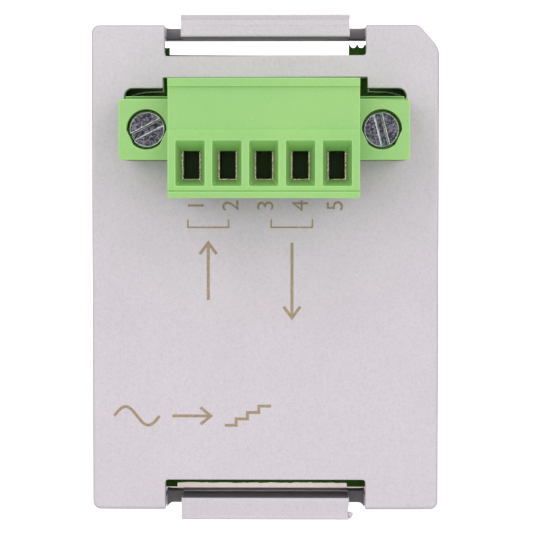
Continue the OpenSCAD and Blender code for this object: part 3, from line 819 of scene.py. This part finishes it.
def build_terminals():
    """The plug, the header, and the metal parts in both."""
    rims = [low("plug_housing").z + 1.151 * MM, low("plug_housing").z + 5.487 * MM]
    # the plug's rounded edges get the painted highlight
    plug = skin("plug_shell", "plug_housing", GREEN, 0.09 * MM, 3, edge_material=GREEN_PAINTED_EDGE_HIGHLIGHT,
                cuts=[("x", POLE_X.values()), ("z", rims, PLUG_FRONT + 0.1 * MM)])
    shade_chambers(plug)
    skin("header_shell", "terminal_header", GREEN, 0.10 * MM, 3)
    for side in ("left", "right"):
        # the rounded edges of the screw heads get worn zinc and a painted highlight
        skin(f"flange_screw_{side}_skin", f"flange_screw_{side}", ZINC, 0.10 * MM, 3,
             edge_material=WORN_ZINC_AND_HIGHLIGHT)
    for i in POLES:
        skin(f"clamp_screw_{i}_skin", f"clamp_screw_{i}", SCREW_ZINC, 0.05 * MM, 2)
        skin(f"clamp_cage_{i}_skin", f"clamp_cage_{i}", CAGE, 0.06 * MM, 2,
             cuts=[("x", [POLE_X[i]])])
    skin("header_nuts_skin", "header_nuts", NUT_BRASS, 0.08 * MM, 2)
    skin("header_pins_skin", "header_pins", CONTACT, 0.12 * MM, 2)
    skin("plug_contacts_skin", "plug_contacts", CONTACT, 0.04 * MM, 2)


# ---- Board, with places (x, z) in millimetres ----

INK_LINE = 0.13
TRACK_THIN, TRACK_SIGNAL, TRACK_BROAD = 0.22, 0.35, 0.75
TRACK_HEIGHT, INK_HEIGHT = 0.022, 0.030
TOP_ROW, BOTTOM_ROW = CONNECTOR_Z / MM + 1, CONNECTOR_Z / MM - 1


def build_board():
    """The board and the parts on it. Chip leads and connector contacts keep their CAD mesh."""
    skin("board_skin", "circuit_board", LAMINATE, 0.03 * MM, 1)
    skin("connector_shell", "board_connector", BLACK_PLASTIC, 0.10 * MM, 2,
         cuts=[("x", [x * MM for x in COLUMNS]), ("z", [CONNECTOR_Z - MM, CONNECTOR_Z + MM])])
    skin("board_screws_skin", "board_screws", SCREW_ZINC, 0.12 * MM, 3)
    for node in ("processor_chip", "converter_chip", "amplifier_chips", "supply_module"):
        skin(f"{node}_skin", node, EPOXY, 0.10 * MM, 2)
    skin("inductor_skin", "power_inductor", FERRITE, 0.18 * MM, 3)
    skin("crystal_skin", "crystal", CAN, 0.16 * MM, 3)
    skin("resistors_skin", "chip_resistors", RESISTOR, 0.05 * MM, 2)
    skin("capacitors_skin", "chip_capacitors", CAPACITOR, 0.09 * MM, 2)
    skin("tantalums_skin", "tantalum_capacitors", TANTALUM, 0.12 * MM, 2)
    skin("terminations_skin", "chip_terminations", SOLDER, 0.07 * MM, 2)
    paint("chip_leads", SOLDER)
    paint("board_connector_contacts", CONTACT)


def strokes_mesh(name, strokes, y, height, facing):
    """Flat strokes on the board, given as (width, points), with five heights by turns, so that
    crossing strokes don't share a surface."""
    bm = bmesh.new()
    for i, (width, points) in enumerate(strokes):
        ribbon(bm, [(x * MM, z * MM) for x, z in points], width * MM, y,
               (height + 0.001 * (i % 5)) * MM, facing)
    return finish_mesh(bm, name)


def route(x0, z0, x1, z1, turn=0.5):
    """A track's corners: along Z, across at 45 degrees, and along Z again."""
    across = abs(x1 - x0)
    room = abs(z1 - z0) - across
    if room < 0:
        return [(x0, z0), (x1, z1)]
    way = 1 if z1 > z0 else -1
    first = z0 + way * room * turn
    return [(x0, z0), (x0, first), (x1, first + way * across), (x1, z1)]


def build_tracks():
    """Copper under the mask: signals to the connector and broad supply tracks at the back, and
    signals behind the cover at the front."""
    rows = []
    pads = [POLE_X[i] / MM for i in POLES]
    for pad, x, z in zip(pads, (-5.2, -0.9, 1.95, 5.77, 9.57), (8.2, 7.2, 7.7, 7.7, 7.7)):
        rows.append((TRACK_SIGNAL, route(pad, 13.0, x, z, 0.3)))
    rows += [(TRACK_THIN, points) for points in (
        [(-10.0, -0.7), (-9.8, -1.2), (-9.8, -2.4)],
        [(-7.6, -0.7), (-7.7, -1.0), (-7.7, -2.4)],
        [(-5.2, -0.7), (-5.2, -1.4), (-5.6, -1.8), (-5.6, -2.4)],
        route(-3.0, TOP_ROW, -4.4, -0.7, 0.6),
        route(-9.8, -4.0, -9.0, TOP_ROW, 0.2),
        [(-7.7, -4.0), (-7.7, -5.0)],
        route(-5.6, -4.0, -5.0, TOP_ROW, 0.05),
        [(-7.0, -7.0), (-7.0, TOP_ROW)],
        [(-11.2, 0.8), (-11.9, 0.1), (-11.9, -2.4)],
        [(-11.4, 1.6), (-12.9, 1.6), (-13.3, 1.2), (-13.3, -1.5), (-14.0, -2.2)],
        [(-14.4, 2.4), (-14.4, 6.0)],
        [(-14.0, -4.0), (-14.0, -6.8)],
        route(-11.9, -4.0, -11.5, -14.4, 0.2),
        [(-10.0, 8.1), (-10.6, 8.7), (-10.6, 9.4)],
        [(-8.4, 8.1), (-9.3, 9.0), (-9.3, 9.4)],
        [(-6.8, 8.1), (-6.4, 8.6), (-6.4, 9.4)],
        [(-12.3, 9.6), (-10.8, 9.6)])]
    for k, z in enumerate((2.4, 3.2, 4.0, 4.8, 5.6)):
        rows.append((TRACK_THIN, [(-11.4, z), (-12.5 - 0.8 * (k % 2), z)]))
    for x, column in zip((1.8, 3.07, 4.34, 5.6, 9.3), (1, 3, 5, 7, 9)):
        rows.append((TRACK_THIN, route(column, TOP_ROW, x, -6.3, 0.2)))
    for x, other in zip((1.8, 3.07, 4.34, 5.6, 9.3, 10.57, 11.84, 13.1),
                        (1.95, 3.22, 4.5, 5.77, 7.04, 8.31, 9.57, 10.85)):
        rows.append((TRACK_THIN, route(x, -1.0, other, 2.5)))
    for k in range(5):
        z = 5.6 - 0.8 * k
        rows.append((TRACK_THIN, [(-3.0, z), (-2.1, z), (-1.7, 6.0 - 0.8 * k)]))
    rows += [(TRACK_BROAD, points) for points in (
        [(-7.2, -17.4), (-6.0, -17.4)],
        [(-4.0, -17.4), (-1.8, -17.4)],
        [(0.2, -17.4), (2.4, -17.4)],
        [(4.4, -17.4), (7.0, -17.4)],
        route(10.3, -17.4, 10.3, -20.6),
        route(9.0, BOTTOM_ROW, 10.3, -16.6, 0.3),
        route(-9.0, BOTTOM_ROW, -9.0, -15.6),
        [(10.3, -20.6), (13.0, -20.6)])]
    piece("board_tracks", strokes_mesh("tracks", rows, BOARD_BACK, TRACK_HEIGHT, 1),
          MASKED_COPPER, *ON_BOARD)
    front = [(TRACK_SIGNAL, route(POLE_X[i] / MM, 10.6, 3.2 * (i - 3), 5.2, 0.3)) for i in POLES]
    front += [(TRACK_THIN, route(x, TOP_ROW, (c - 4.5) * 1.5 - 2, -6.6, 0.3))
              for c, x in enumerate(COLUMNS)]
    piece("board_tracks_front", strokes_mesh("tracks_front", front, BOARD_FRONT, TRACK_HEIGHT, -1),
          MASKED_COPPER, *ON_BOARD)


def build_vias():
    """Tinned rings where tracks change side, each with its drilled hole sunk in the middle."""
    places = [(-0.9, 7.0), (-13.2, 13.4), (-14.4, 6.2), (12.2, 11.6), (14.9, -0.2)]
    places += [(-1.6, 6.1 - 0.8 * k) for k in range(5)]
    places += [(-14.0, -7.0), (14.6, -6.9), (-3.6, -8.3), (-11.5, -14.6)]
    places += [(-12.6 - 0.8 * (k % 2), 2.4 + 0.8 * k) for k in range(5)]
    places += [(-15.2, 17.0), (15.2, 15.4), (-12.4, -20.6), (1.2, -20.9), (4.4, -21.2)]
    places += [(-3.8, -21.0)]
    places += [(x + 1.4 * k, -15.1) for x in (-4.4, 2.6) for k in range(3)]
    profile = ((0.34, -0.02), (0.34, 0.018), (0.30, 0.030), (0.18, 0.030), (0.15, 0.012),
               (0.13, -0.02))  # radius and height, from the foot over the ring into the hole
    angles = [2 * math.pi * k / 16 for k in range(16)]
    for name, y, facing in (("vias", BOARD_BACK, 1), ("vias_front", BOARD_FRONT, -1)):
        bm = bmesh.new()
        for x, z in places:
            rings = [[bm.verts.new(((x + r * math.cos(a)) * MM, y + facing * height * MM,
                                    (z + r * math.sin(a)) * MM)) for a in angles]
                     for r, height in profile]
            for one, other in zip(rings, rings[1:]):
                join_rings(bm, one, other)
            bm.faces.new(rings[0])
            bm.faces.new(rings[-1])
        piece(f"board_{name}", finish_mesh(bm, name, 50), SOLDER, "module", "solder_tin")


def frame_strokes(node, margin):
    """A silkscreen outline round a node."""
    (x0, z0), (x1, z1) = ((corner.x / MM, corner.z / MM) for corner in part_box(node))
    x0, z0, x1, z1 = x0 - margin, z0 - margin, x1 + margin, z1 + margin
    corners = [(x0, z0), (x1, z0), (x1, z1), (x0, z1), (x0, z0)]
    return [(INK_LINE, [one, other]) for one, other in zip(corners, corners[1:])]


def corner_strokes(x0, z0, x1, z1, length):
    """Four silkscreen corner marks."""
    strokes = []
    for x, way_x in ((x0, 1), (x1, -1)):
        for z, way_z in ((z0, 1), (z1, -1)):
            strokes.append((INK_LINE, [(x + way_x * length, z), (x, z), (x, z + way_z * length)]))
    return strokes


def build_silkscreen():
    """Ink on the board: outlines and corner marks at the back, and at the front the corners of
    the header's outline."""
    back = frame_strokes("board_connector", 0.45)
    for corners in ((-11.5, -20.0, -6.5, -15.2, 0.8), (-11.9, -1.1, -2.5, 8.3, 0.9),
                    (0.9, 3.0, 11.9, 7.4, 0.7), (3.7 - 2.75, -5.8, 3.7 + 2.75, -1.4, 0.6),
                    (11.2 - 2.75, -5.8, 11.2 + 2.75, -1.4, 0.6), (6.5, -22.3, 10.7, -15.6, 0.8),
                    (-9.1, -7.6, -5.3, -4.4, 0.5)):
        back += corner_strokes(*corners)
    back += [(INK_LINE, [(-9.2, z), (9.2, z)]) for z in (10.9, 16.7)]
    back += [(INK_LINE, [(x, 10.9), (x, 16.7)]) for x in (-9.2, 9.2)]
    first_pin = [(-10.3, -9.9), (-9.9, -9.3), (-9.5, -9.9), (-10.3, -9.9)]
    back.append((0.32, first_pin))
    piece("board_ink", strokes_mesh("ink", back, BOARD_BACK, INK_HEIGHT, 1), INK, *ON_BOARD)
    outline = ((10.6, 20.0), (10.6, 18.05), (12.4, 18.0), (13.2, 17.86), (13.9, 17.66),
               (14.3, 17.3), (14.4, 16.6))
    front = [(0.11, [(side * x, z) for x, z in outline]) for side in (-1, 1)]
    piece("board_ink_front", strokes_mesh("ink_front", front, BOARD_FRONT, INK_HEIGHT, -1),
          INK, *ON_BOARD)


def build_package_marks():
    """The dot that marks pin 1 on the two larger chips."""
    bm = bmesh.new()
    inset = 0.9 * MM
    for node, r in (("processor_chip", 0.38), ("converter_chip", 0.34)):
        corner = high(node)
        dome(bm, corner.x - inset, corner.z - inset, corner.y - 0.012 * MM,
             r * MM, 0.03 * MM, 0.8, steps=20)
    piece("package_marks", finish_mesh(bm, "package_marks", 60), EPOXY, "module", "package_epoxy")


def build_solder_joints():
    """Fillets round the header's pins at the back and round the connector's tails at the front."""
    bm = bmesh.new()
    for i in POLES:
        dome(bm, POLE_X[i], PIN_Z, BOARD_BACK, 1.0 * MM, 1.0 * MM, 0.42)
    for row in (-1, 1):
        for x in COLUMNS:
            dome(bm, x * MM, CONNECTOR_Z + row * MM, BOARD_FRONT, 0.62 * MM, 0.7 * MM, 0.4,
                 facing=-1)
    piece("solder_joints", finish_mesh(bm, "solder_joints"), SOLDER, "module", "solder_tin")


# ---- Stage, light and camera ----

def build_stage():
    """A round floor that curves up into a wall far from the module, so no horizon shows."""
    floor_z = cad_bounds[0][2]
    bm = bmesh.new()
    flat, bend, wall_top = 0.8, 0.5, 1.2
    profile = [(0.3, 0.0), (flat, 0.0)]
    profile += [(flat + bend * math.sin(a), bend - bend * math.cos(a)) for a in
                (math.radians(d) for d in range(10, 91, 10))]
    profile += [(flat + bend, wall_top)]
    angles = [2 * math.pi * s / 64 for s in range(64)]
    centre = bm.verts.new((0, 0, floor_z))
    rings = [[bm.verts.new((r * math.cos(a), r * math.sin(a), floor_z + z)) for a in angles]
             for r, z in profile]
    for one, other in zip(rings[0], rings[0][1:] + rings[0][:1]):
        bm.faces.new((centre, other, one))
    for one, other in zip(rings, rings[1:]):
        join_rings(bm, one, other)
    floor = piece("floor", finish_mesh(bm, "floor", 60), studio_paper(), None, "cover_plastic")
    floor.visible_diffuse = False
    floor.visible_glossy = False


def softbox(name, place, aim, size, power):
    """A white rectangular lamp, which the camera doesn't see."""
    light = bpy.data.lights.new(name, "AREA")
    light.shape = "RECTANGLE"
    light.size, light.size_y = size
    light.energy = power
    obj = bpy.data.objects.new(name, light)
    obj.location = place
    obj.rotation_euler = (Vector(aim) - Vector(place)).to_track_quat("-Z", "Y").to_euler()
    obj.visible_camera = False
    scene.collection.objects.link(obj)


def build_light():
    """Soft light from the front and above, a lamp for the rear, and an even white surround."""
    middle = (0, FACE_Y, 0)
    softbox("key_left", (-0.31, -0.38, 0.16), middle, (0.40, 0.40), 0.72)
    softbox("key_right", (0.35, -0.38, 0.13), middle, (0.40, 0.40), 0.66)
    softbox("key_top", (-0.04, -0.40, 0.46), middle, (0.50, 0.35), 0.10)
    softbox("front", (0.03, -0.60, 0.04), middle, (0.60, 0.20), 0.56)
    softbox("overhead", (0, 0.10, 0.60), middle, (0.60, 0.60), 0.12)
    softbox("rear", (0.25, 0.55, 0.35), middle, (0.50, 0.40), 1.30)
    world = bpy.data.worlds.new("studio")
    world.use_nodes = True
    background = world.node_tree.nodes["Background"].inputs
    background["Color"].default_value = (1, 1, 1, 1)
    background["Strength"].default_value = 0.74
    scene.world = world
    scene.view_settings.view_transform = "Standard"


def build_camera():
    """A long lens a little above the module's middle, looking slightly down at it."""
    camera = bpy.data.cameras.new("camera")
    camera.lens = 134.0
    camera.sensor_width = 36
    camera.clip_start = 5 * MM
    distance = 200 * MM
    obj = bpy.data.objects.new("camera", camera)
    obj.location = (2.5 * MM, FACE_Y - distance, 8.93 * MM)
    aim = Vector((0.13 * MM, FACE_Y, 0.2 * MM))
    obj.rotation_euler = (aim - obj.location).to_track_quat("-Z", "Y").to_euler()
    scene.collection.objects.link(obj)
    scene.camera = obj


build_cover()
build_latch("top_latch", 1)
build_latch("bottom_latch", -1)
build_gate_nub()
build_marks()
build_terminals()
build_board()
build_tracks()
build_vias()
build_silkscreen()
build_package_marks()
build_solder_joints()
build_stage()
build_light()
build_camera()
